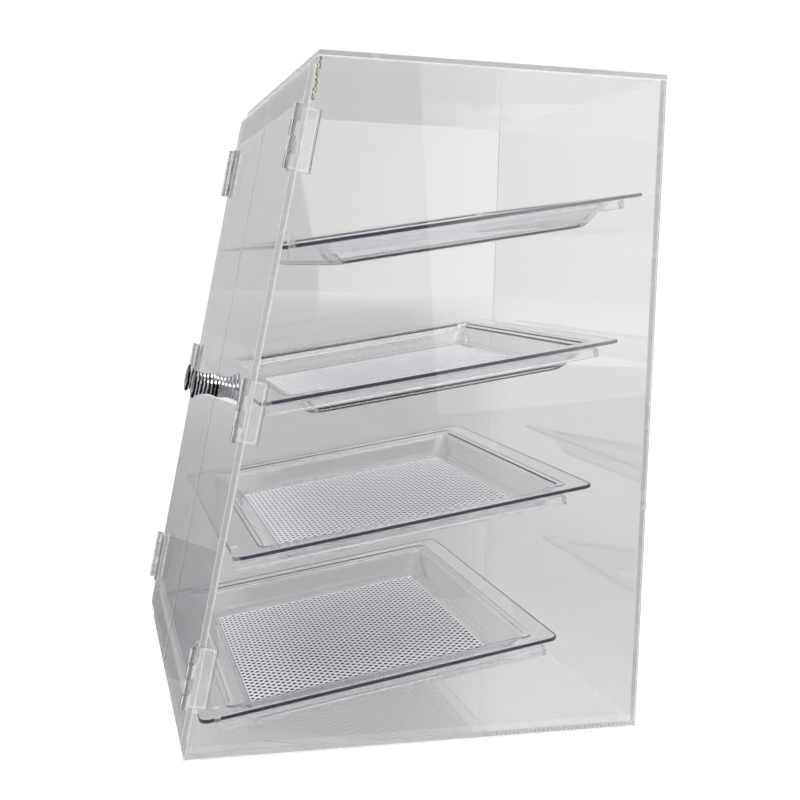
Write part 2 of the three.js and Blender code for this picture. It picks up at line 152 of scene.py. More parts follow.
class Graph:
    """The node tree of one material or of the world."""

    def __init__(self, tree: bpy.types.NodeTree) -> None:
        """Empties the tree.

        Args:
            tree: the tree to fill.
        """
        self.tree = tree
        tree.nodes.clear()

    def add(
        self, kind: str, settings: dict | None = None, inputs: dict | None = None
    ) -> bpy.types.Node:
        """Adds a node, sets it up and feeds it.

        Args:
            kind: the node's type.
            settings: its properties, set first; "stops" holds a ramp's positions and colours.
            inputs: values or wires, by socket name or number.

        Returns:
            The node.
        """
        made = self.tree.nodes.new(kind)
        for name, value in (settings or {}).items():
            if name == "stops":
                self._set_stops(made.color_ramp, value)
            else:
                setattr(made, name, value)
        for name, value in (inputs or {}).items():
            self._feed(made.inputs[name], value)
        return made

    def node(
        self,
        kind: str,
        settings: dict | None = None,
        inputs: dict | None = None,
        output: int | str = 0,
    ) -> Wire:
        """Adds a node as add does, for one of its outputs.

        Args:
            kind: the node's type.
            settings: its properties.
            inputs: values or wires, by socket name or number.
            output: the output that is wanted.

        Returns:
            The wanted output.
        """
        return Wire(self, self.add(kind, settings, inputs).outputs[output])

    def _set_stops(
        self, ramp: bpy.types.ColorRamp, stops: tuple[tuple[float, Colour], ...]
    ) -> None:
        """Gives a colour ramp its stops.

        Args:
            ramp: the ramp.
            stops: position and colour of each stop, in order.
        """
        while len(ramp.elements) < len(stops):
            ramp.elements.new(1)
        for element, (position, colour) in zip(ramp.elements, stops):
            element.position = position
            element.color = (*colour, 1)

    def _feed(self, socket: bpy.types.NodeSocket, value: "Operand | Colour") -> None:
        """Links a wire to an input, or sets the input's own value.

        Args:
            socket: the input.
            value: a wire, number, colour or vector.
        """
        if isinstance(value, Wire):
            self.tree.links.new(value.socket, socket)
        elif isinstance(value, tuple) and socket.type == "RGBA":
            socket.default_value = (*value, 1)
        else:
            socket.default_value = value

    def place(self) -> Wire:
        """Returns Object coordinates in millimetres."""
        raw = self.node("ShaderNodeTexCoord", output="Object")
        return self.node("ShaderNodeMapping", inputs={"Vector": raw, "Scale": (1 / MM,) * 3})

    def along(self, place: Wire, axis: str) -> Wire:
        """One part of a place.

        Args:
            place: the place.
            axis: X, Y or Z.

        Returns:
            Its part along that axis.
        """
        return self.node("ShaderNodeSeparateXYZ", inputs={"Vector": place}, output=axis)

    def reach(self, place: Wire, direction: Colour) -> Wire:
        """How far a place lies along a direction.

        Args:
            place: the place, or another direction.
            direction: the direction, one long.

        Returns:
            The reach, which is 1 to -1 between two directions.
        """
        return self.node(
            "ShaderNodeVectorMath",
            {"operation": "DOT_PRODUCT"},
            {0: place, 1: direction},
            output="Value",
        )

    def ramp(self, value: Wire, stops: Iterable[tuple[float, Colour]]) -> Wire:
        """Turns a value into a colour.

        Args:
            value: the value, 0 to 1.
            stops: position and colour of each stop, in order.

        Returns:
            The colour.
        """
        return self.node("ShaderNodeValToRGB", {"stops": tuple(stops)}, {0: value})

    def sine(self, value: Wire) -> Wire:
        """Returns the sine of a value in radians."""
        return self.node("ShaderNodeMath", {"operation": "SINE"}, {0: value})

    def noise(self, place: Wire, scale: float, octaves: Octaves = Octaves.MEDIUM) -> Wire:
        """Soft noise from 0 to 1.

        Args:
            place: where the pattern is read.
            scale: waves to a unit of place.
            octaves: how fine it is.

        Returns:
            The noise.
        """
        return self.node(
            "ShaderNodeTexNoise",
            inputs={"Vector": place, "Scale": scale, "Detail": float(octaves)},
        )

    def band(self, value: Wire, span: Span, result: Span) -> Wire:
        """Maps one stretch of a value to another, and holds it at the ends.

        Args:
            value: the value.
            span: where the stretch starts and ends.
            result: what it becomes there.

        Returns:
            The mapped value.
        """
        low, high = span
        bottom, top = result
        return self.node(
            "ShaderNodeMapRange", inputs={0: value, 1: low, 2: high, 3: bottom, 4: top}
        )

    def bump(self, height: Wire, strength: float, distance: float) -> Wire:
        """Turns a height into a normal.

        Args:
            height: the height, 0 to 1.
            strength: how much of it shows.
            distance: millimetres from 0 to 1.

        Returns:
            The normal.
        """
        return self.node(
            "ShaderNodeBump",
            inputs={"Height": height, "Strength": strength, "Distance": distance * MM},
        )

    def surface(self, **sockets: "Operand | Colour") -> None:
        """Ends a material with one Principled shader.

        Args:
            sockets: the shader's inputs, with underscores for spaces.
        """
        named = {name.replace("_", " "): value for name, value in sockets.items()}
        named.setdefault("IOR", PLASTIC_IOR)
        shader = self.node("ShaderNodeBsdfPrincipled", inputs=named)
        self.add("ShaderNodeOutputMaterial", inputs={"Surface": shader})

    def glow(self, grey: Wire) -> None:
        """Ends a material that reflects next to nothing and gives light.

        Args:
            grey: how bright it is.
        """
        self.surface(
            Base_Color=(0, 0, 0), Roughness=1.0, Emission_Color=grey, Emission_Strength=1.0
        )


def new_material(name: str) -> tuple[bpy.types.Material, Graph]:
    """Makes an empty material.

    Args:
        name: its name.

    Returns:
        The material and its graph.
    """
    material = bpy.data.materials.new(name)
    material.use_nodes = True
    return material, Graph(material.node_tree)


@dataclass(frozen=True)
class ClearFace:
    """Polished face of clear plastic, with faint smears and a slow waviness.

    In every finish, scales are waves to a millimetre and heights are in millimetres.
    """

    name: str
    tint: Colour
    refraction: float = ACRYLIC_IOR
    haze: float = 0.012
    smear: float = 0.05
    smear_scale: float = 0.02
    smear_span: Span = (0.55, 0.75)
    wave_scale: float = 0.008
    wave_height: float = 0.02
    wave_strength: float = 0.2

    def build(self) -> bpy.types.Material:
        """Returns the material."""
        material, graph = new_material(self.name)
        smears = graph.noise(graph.place(), self.smear_scale, Octaves.FINE)
        waves = graph.noise(graph.place(), self.wave_scale, Octaves.BROAD)
        graph.surface(
            Base_Color=self.tint,
            Transmission_Weight=1.0,
            IOR=self.refraction,
            Roughness=graph.band(smears, self.smear_span, (self.haze, self.haze + self.smear)),
            Normal=graph.bump(waves, self.wave_strength, self.wave_height),
        )
        return material


@dataclass(frozen=True)
class CutEdge:
    """Machined edge of clear sheet: frosted, with tool marks, and glowing with painted light.

    Its painted glow falls to the share low_glow down the heights of low_span.
    """

    name: str
    tint: Colour
    see_through: float = 0.15
    roughness: float = 0.2
    glow: float = 0.0
    low_glow: float = 1.0
    low_span: Span = (120, 400)
    patch_scale: float = 0.05
    patch_span: Span = (0.35, 0.65)
    patch_glow: Span = (0.9, 1.0)
    smooth_share: float = 0.4
    rough_share: float = 1.6
    mark_scale: float = 0.6
    mark_height: float = 0.01
    mark_strength: float = 0.3

    def build(self) -> bpy.types.Material:
        """Returns the material."""
        material, graph = new_material(self.name)
        marks = graph.noise(graph.place(), self.mark_scale, Octaves.FINE)
        patches = graph.noise(graph.place(), self.patch_scale)
        rough = (self.roughness * self.smooth_share, self.roughness * self.rough_share)
        height = graph.along(graph.place(), "Z")
        # Painted light: the edge glows, less towards the bottom
        painted_glow_share = graph.band(height, self.low_span, (self.low_glow, 1.0))
        graph.surface(
            Base_Color=self.tint,
            Transmission_Weight=self.see_through,
            IOR=ACRYLIC_IOR,
            Roughness=graph.band(patches, self.patch_span, rough),
            Emission_Color=graph.band(patches, self.patch_span, self.patch_glow) * painted_glow_share,
            Emission_Strength=self.glow,
            Normal=graph.bump(marks, self.mark_strength, self.mark_height),
        )
        return material


@dataclass(frozen=True)
class RimEdge:
    """Smooth outer edge of a tinted tray: dark in its depth, with painted light towards the
    upper rear.

    Its painted light is half on where a place's Y and its Z times the rise, in millimetres, add
    up to turn.
    """

    name: str
    deep: Colour
    pale: Colour
    see_through: float = 0.12
    roughness: float = 0.1
    rise: float = 0.75
    turn: float = 405
    fade: float = 45

    def build(self) -> bpy.types.Material:
        """Returns the material."""
        material, graph = new_material(self.name)
        place = graph.place()
        reach = graph.along(place, "Y") + graph.along(place, "Z") * self.rise - self.turn
        # Painted light: the dark edge pales by place towards the upper rear
        painted_light_share = graph.band(reach, (-self.fade, self.fade), (0, 1))
        graph.surface(
            Base_Color=graph.ramp(painted_light_share, ((0.0, self.deep), (1.0, self.pale))),
            Transmission_Weight=self.see_through,
            IOR=ACRYLIC_IOR,
            Roughness=self.roughness,
        )
        return material


@dataclass(frozen=True)
class CementLine:
    """Solvent cement between two clear sheets, with trapped bubbles in zigzag rows."""

    name: str
    stops: tuple[tuple[float, Colour], ...]
    bubble_pitch: float = 4.2
    bubble_share: float = 0.4
    bubble_lean: float = 0.6
    zigzag_height: float = 5
    bubbles_from: float = -1000
    uneven_scale: float = 0.35
    unevenness: float = 3
    blotch_scale: float = 0.5
    blotch_span: Span = (0.35, 0.65)
    see_through: float = 0.1
    roughness: float = 0.25

    def build(self) -> bpy.types.Material:
        """Returns the material."""
        material, graph = new_material(self.name)
        place = graph.place()
        along, height = graph.along(place, "Y"), graph.along(place, "Z")
        zigzag = abs(height % self.zigzag_height - self.zigzag_height / 2) * self.bubble_lean
        uneven = graph.noise(place, self.uneven_scale) * self.unevenness
        row = (along + zigzag + uneven) % self.bubble_pitch
        bubble = (row < self.bubble_pitch * self.bubble_share) * (along > self.bubbles_from)
        specks = graph.noise(place, self.blotch_scale, Octaves.FINE)
        blotch = graph.band(specks, self.blotch_span, (0, 1))
        graph.surface(
            Base_Color=graph.ramp((blotch + bubble) / 2, self.stops),
            Transmission_Weight=self.see_through,
            Roughness=self.roughness,
            IOR=ACRYLIC_IOR,
        )
        return material


@dataclass(frozen=True)
class FrostedStrand:
    """Raised strands of a moulded mesh floor, whitened by their rough faces."""

    name: str
    colour: Colour
    see_through: float
    roughness: float = 0.4
    refraction: float = PLASTIC_IOR
    grain_scale: float = 0.9
    grain_span: Span = (0.3, 0.7)
    grain_height: float = 0.05
    grain_strength: float = 0.25
    smooth_share: float = 0.7
    rough_share: float = 1.3

    def build(self) -> bpy.types.Material:
        """Returns the material."""
        material, graph = new_material(self.name)
        grain = graph.noise(graph.place(), self.grain_scale, Octaves.FINE)
        rough = (self.roughness * self.smooth_share, self.roughness * self.rough_share)
        graph.surface(
            Base_Color=self.colour,
            Transmission_Weight=self.see_through,
            IOR=self.refraction,
            Roughness=graph.band(grain, self.grain_span, rough),
            Normal=graph.bump(grain, self.grain_strength, self.grain_height),
        )
        return material


@dataclass(frozen=True)
class Metal:
    """Bare or plated metal with faint handling marks."""

    name: str
    colour: Colour
    roughness: float
    marks: float
    wear_scale: float = 0.3
    wear_span: Span = (0.4, 0.8)

    def build(self) -> bpy.types.Material:
        """Returns the material."""
        material, graph = new_material(self.name)
        wear = graph.noise(graph.place(), self.wear_scale, Octaves.FINEST)
        rough = (self.roughness, self.roughness + self.marks)
        graph.surface(
            Base_Color=self.colour,
            Metallic=1.0,
            Roughness=graph.band(wear, self.wear_span, rough),
        )
        return material


@dataclass(frozen=True)
class TurnedMetal:
    """Plated turned metal in rings left by the lathe, its grooves near black with painted shade.
    """

    name: str
    crest: Colour
    groove: Colour
    axis: Colour
    crest_at: float
    roughness: float = 0.04
    ring_pitch: float = 3.7
    ring_height: float = 0.12
    ring_span: Span = (-0.1, 0.6)
    uneven_scale: float = 0.25
    unevenness: float = 1.5

    def build(self) -> bpy.types.Material:
        """Returns the material."""
        material, graph = new_material(self.name)
        reach = graph.reach(graph.place(), self.axis) - self.crest_at
        uneven = graph.noise(graph.place(), self.uneven_scale) * self.unevenness
        rings = graph.sine((reach + uneven) * (math.tau / self.ring_pitch) + math.pi / 2)
        # Painted shade: the grooves between the bright crests are near black
        brightness = graph.band(rings, self.ring_span, (0, 1))
        graph.surface(
            Base_Color=graph.ramp(brightness, ((0.0, self.groove), (1.0, self.crest))),
            Metallic=1.0,
            Roughness=self.roughness,
            Normal=graph.bump(rings, 1.0, self.ring_height),
        )
        return material


PALE_CEMENT = ((0.0, (0.66, 0.67, 0.63)), (0.5, (0.80, 0.81, 0.77)), (1.0, (0.34, 0.36, 0.30)))
# Cement voids with painted glints: white specks are painted highlights, near-black ones painted
# shade
VOID_AND_GLINT_CEMENT = ((0.0, (0.97, 0.97, 0.92)), (0.45, (0.66, 0.66, 0.42)), (1.0, (0.03, 0.03, 0.02)))


@dataclass(frozen=True)
class Finishes:
    """Every finish of the bin."""

    sheet: bpy.types.Material
    top: bpy.types.Material
    front: bpy.types.Material
    door: bpy.types.Material
    sheet_edge: bpy.types.Material
    shaded_front_edge: bpy.types.Material
    highlight_corner: bpy.types.Material
    seam: bpy.types.Material
    cement: bpy.types.Material
    void: bpy.types.Material
    hinge: bpy.types.Material
    hinge_plate: bpy.types.Material
    hinge_highlight_line: bpy.types.Material
    hinge_shaded_rim: bpy.types.Material
    hinge_pin: bpy.types.Material
    runner: bpy.types.Material
    tray: bpy.types.Material
    shaded_tray_well: bpy.types.Material
    tray_edge: bpy.types.Material
    strand: bpy.types.Material
    shaded_pocket: bpy.types.Material
    chrome: bpy.types.Material
    zinc: bpy.types.Material


def make_finishes() -> Finishes:
    """Builds the finishes once.

    Returns:
        The finishes.
    """
    outward = door_normal()
    recipes = {
        # One clear acrylic throughout: the greys of sheet, top, front and door faces are painted
        # shade
        "sheet": ClearFace("clear_sheet_face", (0.86, 0.861, 0.86)),
        "top": ClearFace("clear_top_face", (0.895, 0.896, 0.895)),
        "front": ClearFace("clear_front_face", (0.99, 0.992, 0.995)),
        "door": ClearFace("clear_door_face", (0.924, 0.935, 0.963)),
        # Cut edges glow with painted light; front edges are darker (painted shade), corners
        # brighter (painted highlight)
        "sheet_edge": CutEdge("clear_sheet_edge", (0.66, 0.665, 0.64), glow=0.05),
        "shaded_front_edge": CutEdge("clear_front_edge", (0.5, 0.505, 0.51), glow=0.14, low_glow=0.2),
        "highlight_corner": CutEdge(
            "clear_sheet_corner", (0.96, 0.96, 0.955), roughness=0.1, glow=0.08
        ),
        # The seam edge's dark grey is painted shade where the doors meet
        "seam": CutEdge("clear_seam_edge", (0.26, 0.265, 0.28)),
        "cement": CementLine("cement_line", PALE_CEMENT, bubbles_from=60),
        # The header cement's voids carry painted glints and painted shade
        "void": CementLine("cement_voids_and_glints", VOID_AND_GLINT_CEMENT, bubble_pitch=3.4),
        "hinge": ClearFace("hinge_plastic", (0.93, 0.935, 0.935), haze=0.0, wave_height=0.05),
        # Hinge leaves: the plate glows faintly, the line round it is a painted highlight, the
        # rim's grey painted shade
        "hinge_plate": CutEdge(
            "hinge_plate", (0.95, 0.955, 0.955), see_through=0.95, roughness=0.03, glow=0.012
        ),
        "hinge_highlight_line": CutEdge(
            "hinge_painted_highlight_line", (0.95, 0.955, 0.95), see_through=0.6, roughness=0.1, glow=0.05
        ),
        "hinge_shaded_rim": CutEdge("hinge_shaded_rim", (0.36, 0.36, 0.35), see_through=0.5, roughness=0.1),
        "hinge_pin": ClearFace("hinge_pin", (0.5, 0.5, 0.5), haze=0.0),
        "runner": CutEdge(
            "runner_plastic", (0.93, 0.93, 0.935), see_through=0.88, roughness=0.15
        ),
        "tray": ClearFace(
            "tray_plastic", (0.90, 0.90, 0.915), refraction=PLASTIC_IOR, haze=0.02
        ),
        # The well's darker grey is painted shade on the same tray plastic
        "shaded_tray_well": ClearFace("tray_well_plastic", (0.83, 0.83, 0.845), haze=0.03),
        # The rim edge's paler upper rear is painted light
        "tray_edge": RimEdge(
            "tray_rim_edge", deep=(0.012, 0.01, 0.045), pale=(0.26, 0.25, 0.30)
        ),
        "strand": FrostedStrand("tray_mesh_strand", (0.93, 0.925, 0.96), see_through=0.05),
        # The pockets between the strands are painted shade: near-black faces in the mesh's gaps
        "shaded_pocket": FrostedStrand(
            "tray_mesh_pocket",
            (0.02, 0.018, 0.035),
            see_through=0.0,
            roughness=0.5,
            refraction=1.12,
        ),
        # The knob's near-black grooves are painted shade
        "chrome": TurnedMetal(
            "ringed_chrome",
            crest=(0.72, 0.72, 0.74),
            groove=(0.02, 0.02, 0.02),
            axis=outward.to_tuple(),
            crest_at=extent("right_door_knob", outward)[1] / MM,
        ),
        "zinc": Metal("zinc_screw", (0.62, 0.63, 0.64), roughness=0.28, marks=0.2),
    }
    return Finishes(**{name: recipe.build() for name, recipe in recipes.items()})


class Slot(Enum):
    """The record's material slots."""

    SHEET = "clear_sheet"
    HINGE = "hinge_plastic"
    TRAY = "tray_plastic"
    METAL = "polished_metal"
    SCREW = "screw_steel"


ACROSS, REARWARD, UPWARD = Vector((1, 0, 0)), Vector((0, 1, 0)), Vector((0, 0, 1))
CASE = "case"
# Corners nearer than this are merged, and faces that turn less than this become one
SAME_CORNER = 0.002 * MM
SAME_PLANE = math.radians(0.5)
# Strips narrower than this shade smooth, across edges that turn less than this
SMOOTH_WIDTH = 2.3 * MM
SMOOTH_BELOW = math.radians(35)


def joint_axis(name: str) -> Vector:
    """The direction of one of the frame's joints.

    Args:
        name: the joint.

    Returns:
        Its axis, one metre long.
    """
    found = next(joint for joint in frame["joints"] if joint["name"] == name)
    return Vector(found["axis"]).normalized()


def door_normal() -> Vector:
    """Returns the direction straight out of the closed doors."""
    return ACROSS.cross(joint_axis("right_door_swing"))


def extent(node: str, direction: Vector) -> tuple[float, float]:
    """How far a node reaches along a direction.

    Args:
        node: the CAD node.
        direction: the direction, one metre long.

    Returns:
        The lowest and the highest reach.
    """
    reaches = [corner.co.dot(direction) for corner in frame["nodes"][node].data.vertices]
    return min(reaches), max(reaches)


def turned_to(across: Vector, along: Vector, up: Vector, origin: Vector) -> Matrix:
    """The matrix that takes a piece's own X, Y and Z to three directions.

    Args:
        across: where its X goes.
        along: where its Y goes.
        up: where its Z goes.
        origin: where its origin goes.

    Returns:
        The matrix.
    """
    matrix = Matrix((across, along, up)).transposed().to_4x4()
    matrix.translation = origin
    return matrix


def node_copy(node: str) -> bmesh.types.BMesh:
    """A CAD node's mesh with its doubles merged and its flat faces whole.

    Args:
        node: the CAD node.

    Returns:
        The mesh, to be shaped further.
    """
    mesh = bmesh.new()
    mesh.from_mesh(frame["nodes"][node].data)
    bmesh.ops.remove_doubles(mesh, verts=mesh.verts, dist=SAME_CORNER)
    bmesh.ops.dissolve_limit(mesh, angle_limit=SAME_PLANE, verts=mesh.verts, edges=mesh.edges)
    return mesh


def bevel(
    mesh: bmesh.types.BMesh, edges: list[bmesh.types.BMEdge], width: float, segments: int
) -> None:
    """Bevels some of a mesh's edges.

    Args:
        mesh: the mesh.
        edges: the edges.
        width: how wide the bevel is.
        segments: faces across it.
    """
    bmesh.ops.bevel(
        mesh,
        geom=edges,
        offset=width,
        offset_type="OFFSET",
        segments=segments,
        profile=0.5,
        affect="EDGES",
        material=-1,
        clamp_overlap=True,
    )


def soften(
    mesh: bmesh.types.BMesh, width: float, angle: float, longer_than: float = 0
) -> None:
    """Rounds a mesh's sharp edges a little.

    Args:
        mesh: the mesh.
        width: how wide the rounding is.
        angle: edges sharper than this are rounded, in degrees.
        longer_than: shorter edges are left.
    """
    limit = math.radians(angle)
    edges = [
        edge
        for edge in mesh.edges
        if len(edge.link_faces) == 2
        and edge.calc_face_angle(0) > limit
        and edge.calc_length() > longer_than
    ]
    bevel(mesh, edges, width, segments=2)


def inset(
    mesh: bmesh.types.BMesh, faces: list[bmesh.types.BMFace], width: float
) -> list[bmesh.types.BMFace]:
    """Insets each of some faces, in its own plane.

    Args:
        mesh: the mesh.
        faces: the faces, which shrink.
        width: how wide the new faces round them are.

    Returns:
        The new faces.
    """
    return bmesh.ops.inset_individual(
        mesh, faces=faces, thickness=width, depth=0, use_even_offset=True
    )["faces"]


def broadest(mesh: bmesh.types.BMesh) -> bmesh.types.BMFace:
    """Returns a mesh's largest face."""
    return max(mesh.faces, key=lambda face: face.calc_area())


def is_narrow(face: bmesh.types.BMFace, width: float) -> bool:
    """Whether a face is a narrow strip.

    Args:
        face: the face.
        width: the width that a long strip stays under.

    Returns:
        True for such a strip.
    """
    return 2 * face.calc_area() < width * face.calc_perimeter()


def link(holder: bpy.types.Object) -> None:
    """Puts an object into the scene."""
    bpy.context.scene.collection.objects.link(holder)


def finish_piece(
    mesh: bmesh.types.BMesh,
    name: str,
    materials: Iterable[bpy.types.Material],
    body: str,
    nodes: Iterable[str] = (),
    opaque: bool = False,
) -> None:
    """Turns a mesh into a named object that rides on its body.

    Args:
        mesh: the finished mesh, which is freed.
        name: the piece's name.
        materials: its materials, in the order of its face indices.
        body: the CAD body that it rides on.
        nodes: CAD nodes that it stands for.
        opaque: whether it stops light and shows in it; clear pieces let it pass.
    """
    smooth = [is_narrow(face, SMOOTH_WIDTH) for face in mesh.faces]
    data = bpy.data.meshes.new(name)
    mesh.to_mesh(data)
    mesh.free()
    imported_normals = data.attributes.get("custom_normal")
    if imported_normals:
        data.attributes.remove(imported_normals)
    for material in materials:
        data.materials.append(material)
    data.set_sharp_from_angle(angle=SMOOTH_BELOW)
    data.polygons.foreach_set("use_smooth", smooth)
    piece = bpy.data.objects.new(name, data)
    piece.visible_shadow = piece.visible_diffuse = opaque
    link(piece)
    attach(piece, body)
    for node in nodes:
        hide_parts(node)
    LOG.info("%s: %d faces", name, len(data.polygons))


CASE_SHEETS = (
    "base_panel",
    "left_side_panel",
    "right_side_panel",
    "back_panel",
    "top_panel",
    "front_apron",
    "front_header",
)
CEMENTED = ("base_panel", "front_apron", "front_header")


class SheetFace(IntEnum):
    """Where each finish stands among a sheet's materials."""

    BROAD = 0
    CUT = 1
    CORNER = 2
    JOINT = 3
    FORWARD = 4


@dataclass
class SheetPanels:
    """The case's and the doors' flat sheets, with eased edges."""

    finishes: Finishes
    edge_width: float = 0.45 * MM
    edge_angle: float = 30
    hole_edge: float = 20 * MM
    seam_reach: float = 10 * MM
    flat_share: float = 0.9

    def build(self, node: str, body: str) -> None:
        """Makes one sheet from its CAD node.

        Args:
            node: the sheet's node.
            body: the body that holds it.
        """
        mesh = node_copy(node)
        outward = broadest(mesh).normal.copy()
        soften(mesh, self.edge_width, self.edge_angle, self.hole_edge)
        for face in mesh.faces:
            face.material_index = self.rank(face, outward, node, body)
        finish_piece(
            mesh, f"{node}_sheet", self.materials(node, body), body, [node]
        )

    def rank(
        self, face: bmesh.types.BMFace, outward: Vector, node: str, body: str
    ) -> SheetFace:
        """Chooses the finish of one face.

        Args:
            face: the face.
            outward: the direction that the broad faces look in.
            node: the sheet's node.
            body: the body that holds it.

        Returns:
            The finish's place among the sheet's materials.
        """
        if abs(face.normal.dot(outward)) > self.flat_share:
            return SheetFace.BROAD
        # Eased corners take the painted highlight
        if is_narrow(face, self.edge_width):
            return SheetFace.CORNER
        on_door = body != CASE
        at_seam = on_door and abs(face.calc_center_median().x) < self.seam_reach
        if abs(face.normal.x) > self.flat_share and (node in CEMENTED or at_seam):
            return SheetFace.JOINT
        # Door edges and front-facing edges take the painted shade
        if on_door or face.normal.y < -self.flat_share:
            return SheetFace.FORWARD
        return SheetFace.CUT

    def materials(self, node: str, body: str) -> tuple[bpy.types.Material, ...]:
        """Gathers one sheet's finishes.

        Args:
            node: the sheet's node.
            body: the body that holds it.

        Returns:
            The finishes, in the order of SheetFace.
        """
        finishes = self.finishes
        faces = {
            "front_apron": finishes.front,
            "front_header": finishes.front,
            "top_panel": finishes.top,
        }
        on_case = body == CASE
        face = faces.get(node, finishes.sheet if on_case else finishes.door)
        # Doors meet at a seam edge of painted shade
        joint = finishes.cement if on_case else finishes.seam
        if node == "front_header":
            joint = finishes.void
        return (face, finishes.sheet_edge, finishes.highlight_corner, joint, finishes.shaded_front_edge)


@dataclass
class Runners:
    """The clear rails that carry the trays."""

    finishes: Finishes
    edge_width: float = 0.8 * MM
    edge_angle: float = 30
    tip_height: float = 1.5 * MM

    def build(self, node: str) -> None:
        """Makes one runner from its CAD node; its lug's tip has the sheet's edge finish, a
        painted highlight.

        Args:
            node: the runner's node.
        """
        mesh = node_copy(node)
        up = ACROSS.cross(joint_axis("top_tray_slide"))
        tip = extent(node, up)[1] - self.tip_height
        soften(mesh, self.edge_width, self.edge_angle)
        for face in mesh.faces:
            # The lug's tip takes the glowing sheet edge finish: a painted highlight
            face.material_index = int(face.calc_center_median().dot(up) > tip)
        materials = (self.finishes.runner, self.finishes.sheet_edge)
        finish_piece(mesh, f"{node}_rail", materials, CASE, [node])


class LeafFace(IntEnum):
    """Where each finish stands among a hinge leaf's materials."""

    BARREL = 0
    HIGHLIGHT_LINE = 1
    PLATE = 2
    RIM = 3


@dataclass
class Hinges:
    """Clear butt hinges: two leaves with knuckles, on a pin."""

    finishes: Finishes
    edge_width: float = 0.35 * MM
    edge_angle: float = 40
    leaf_thickness: float = 2.5 * MM
    long_edge: float = 50 * MM
    chamfer: float = 1.1 * MM
    border: float = 1.6 * MM
    highlight_width: float = 0.8 * MM
    barrel_radius: float = 3.4 * MM
    flat_share: float = 0.9
    film: float = 0.05 * MM

    def build(self, side: str, place: str) -> None:
        """Makes one hinge from its three CAD nodes.

        Args:
            side: left or right.
            place: bottom, middle or top.
        """
        finishes = self.finishes
        leaf = (finishes.hinge, finishes.hinge_highlight_line, finishes.hinge_plate, finishes.hinge_shaded_rim)
        for kind, body, materials in (
            ("side_leaf", CASE, leaf),
            ("door_leaf", f"{side}_door", leaf),
            ("pin", CASE, (finishes.hinge_pin,)),
        ):
            node = f"{side}_{place}_hinge_{kind}"
            mesh = node_copy(node)
            if materials is leaf:
                self.shape_leaf(mesh)
            soften(mesh, self.edge_width, self.edge_angle)
            finish_piece(mesh, f"{node}_moulding", materials, body, [node])

    def shape_leaf(self, mesh: bmesh.types.BMesh) -> None:
        """Chamfers a leaf's long free edges; paints shade on its rim and a highlight line round
        its plate.

        Args:
            mesh: the leaf.
        """
        plate = broadest(mesh)
        outward = plate.normal.copy()
        level = plate.calc_center_median().dot(outward)
        long_edges = [edge for edge in mesh.edges if edge.calc_length() > self.long_edge]
        bevel(mesh, long_edges, self.chamfer, segments=1)
        across = outward.cross(joint_axis("right_door_swing"))
        barrel = [
            corner.co.dot(across)
            for corner in mesh.verts
            if abs(corner.co.dot(outward) - level) > self.leaf_thickness + self.film
        ]
        pin = (min(barrel) + max(barrel)) / 2
        plates = []
        for face in mesh.faces:
            if abs(face.calc_center_median().dot(across) - pin) <= self.barrel_radius:
                continue
            # The rim's grey is painted shade
            face.material_index = LeafFace.RIM
            if abs(face.normal.dot(outward)) > self.flat_share:
                face.material_index = LeafFace.PLATE
                plates.append(face)
        inset(mesh, plates, self.border)
        # The ring inset within the border is a flat painted highlight line
        for face in inset(mesh, plates, self.highlight_width):
            face.material_index = LeafFace.HIGHLIGHT_LINE


